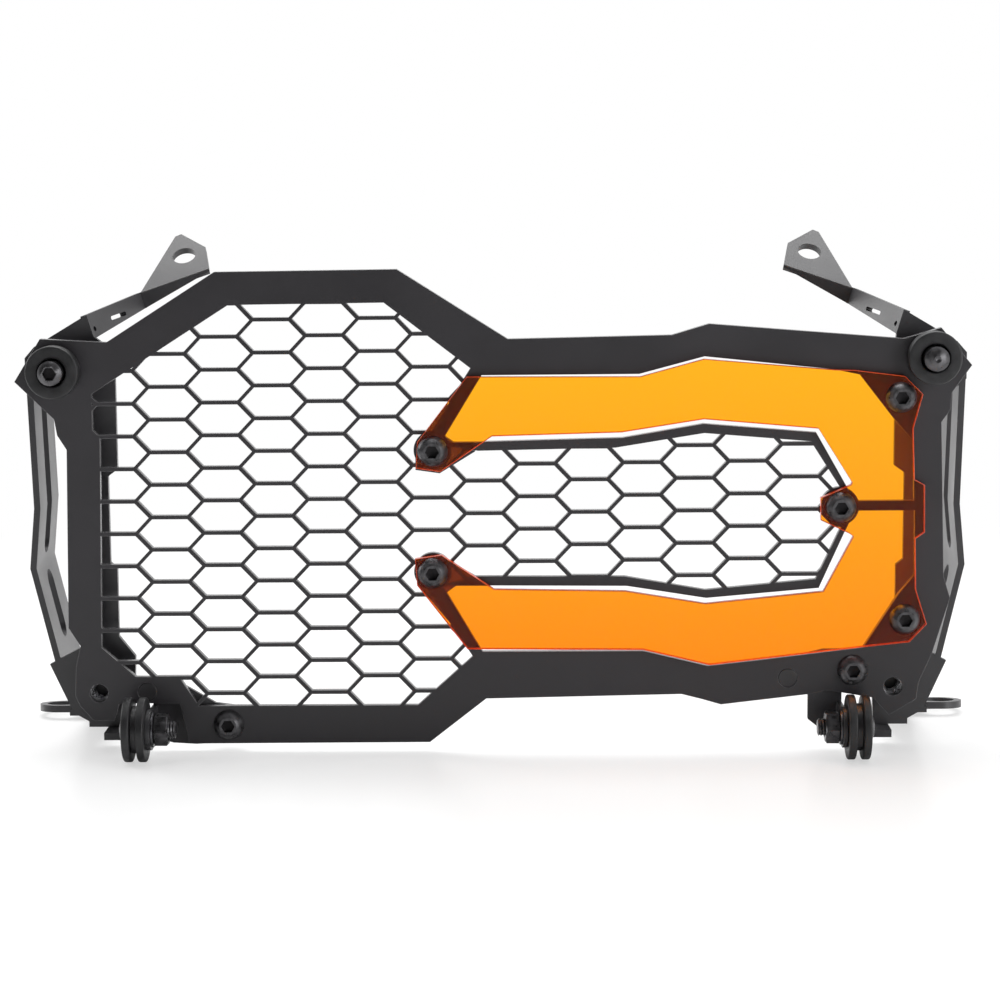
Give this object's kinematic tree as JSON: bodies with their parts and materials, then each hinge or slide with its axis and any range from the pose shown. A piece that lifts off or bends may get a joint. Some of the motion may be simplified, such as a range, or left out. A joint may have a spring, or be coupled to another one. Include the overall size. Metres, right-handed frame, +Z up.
{
  "type": "motorcycle headlight guard",
  "caption": "Folding headlight guard: honeycomb sheet grille with an amber lens plate, two bent side brackets, rubber foot hinges and corner snap studs.",
  "frame": {"origin": "middle of the part's box in x and y, on the ground that its rollers stand on", "axes": "+X to the guard's right as seen from in front of the motorcycle, +Y back towards the motorcycle, +Z up"},
  "size_m": [0.3382, 0.0966, 0.1757],
  "materials": {
    "grille_coat": "satin black powder coat",
    "amber_lens": "clear amber sheet",
    "screw_steel": "black oxide",
    "bracket_coat": "satin black powder coat",
    "grommet_rubber": "matt",
    "insert_steel": "black oxide",
    "rivet_coat": "satin black",
    "roller_rubber": "matt"
  },
  "bodies": {
    "brackets": {"side_bracket_left": "bracket_coat", "side_bracket_right": "bracket_coat", "hinge_roller_left": "roller_rubber", "hinge_roller_right": "roller_rubber", "snap_stud_left": "screw_steel", "snap_stud_right": "screw_steel", "stud_nut_left": "screw_steel", "stud_nut_right": "screw_steel"},
    "grille": {"front_grille": "grille_coat", "amber_lens": "amber_lens", "lens_screws": "screw_steel", "lens_nuts": "screw_steel", "corner_grommet_left": "grommet_rubber", "corner_grommet_right": "grommet_rubber", "threaded_insert_left": "insert_steel", "threaded_insert_right": "insert_steel", "hinge_leaf_left": "bracket_coat", "hinge_leaf_right": "bracket_coat", "leaf_rivets": "rivet_coat", "leaf_screws": "screw_steel", "leaf_nuts": "screw_steel", "hinge_bolt_left": "screw_steel", "hinge_bolt_right": "screw_steel", "hinge_washer_left": "screw_steel", "hinge_washer_right": "screw_steel", "hinge_nut_left": "screw_steel", "hinge_nut_right": "screw_steel"}
  },
  "joints": [
    {"name": "grille_fold", "type": "hinge", "parent": "brackets", "child": "grille", "pos_m": [0, -0.03728, 0.011], "axis": [1, 0, 0], "range_deg": [0, 90]}
  ]
}
